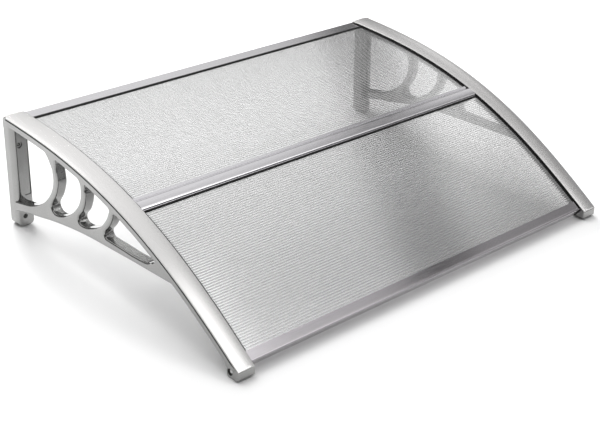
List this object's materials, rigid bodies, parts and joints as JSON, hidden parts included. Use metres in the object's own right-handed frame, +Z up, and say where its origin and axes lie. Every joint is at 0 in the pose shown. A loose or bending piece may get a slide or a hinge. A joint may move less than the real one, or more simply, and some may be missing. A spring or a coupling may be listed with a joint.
{
  "type": "door canopy",
  "caption": "Wall-mounted door canopy: curved twin-wall polycarbonate sheets on openwork side brackets, with metal cover strips and cross rails.",
  "frame": {"origin": "middle of the wall rail's back face, in the plane of the wall", "axes": "+X along the wall from the left bracket to the right one as seen from in front, +Y into the wall, so the roof projects towards -Y, +Z up"},
  "size_m": [1.2, 0.8299, 0.3429],
  "materials": {
    "bracket": "glossy silver-grey moulding",
    "cover": "smooth satin silver",
    "rail": "satin extrusion",
    "sheet": "clear twin-wall sheet",
    "rubber": "matt black",
    "screw": "plain steel"
  },
  "bodies": {
    "root": {"bracket_left": "bracket", "bracket_right": "bracket", "cover_left": "cover", "cover_right": "cover", "cover_screw_left_1": "screw", "cover_screw_left_2": "screw", "cover_screw_left_3": "screw", "cover_screw_left_4": "screw", "cover_screw_left_5": "screw", "cover_screw_right_1": "screw", "cover_screw_right_2": "screw", "cover_screw_right_3": "screw", "cover_screw_right_4": "screw", "cover_screw_right_5": "screw", "edge_strip_left": "rubber", "edge_strip_right": "rubber", "front_screw_left": "screw", "front_screw_right": "screw", "gasket_middle": "rubber", "gasket_rear": "rubber", "rail_front": "rail", "rail_middle_base": "rail", "rail_middle_cap": "rail", "rail_rear": "rail", "sheet_front": "sheet", "sheet_rear": "sheet", "side_seal_left_front": "rubber", "side_seal_left_rear": "rubber", "side_seal_right_front": "rubber", "side_seal_right_rear": "rubber"}
  },
  "joints": []
}
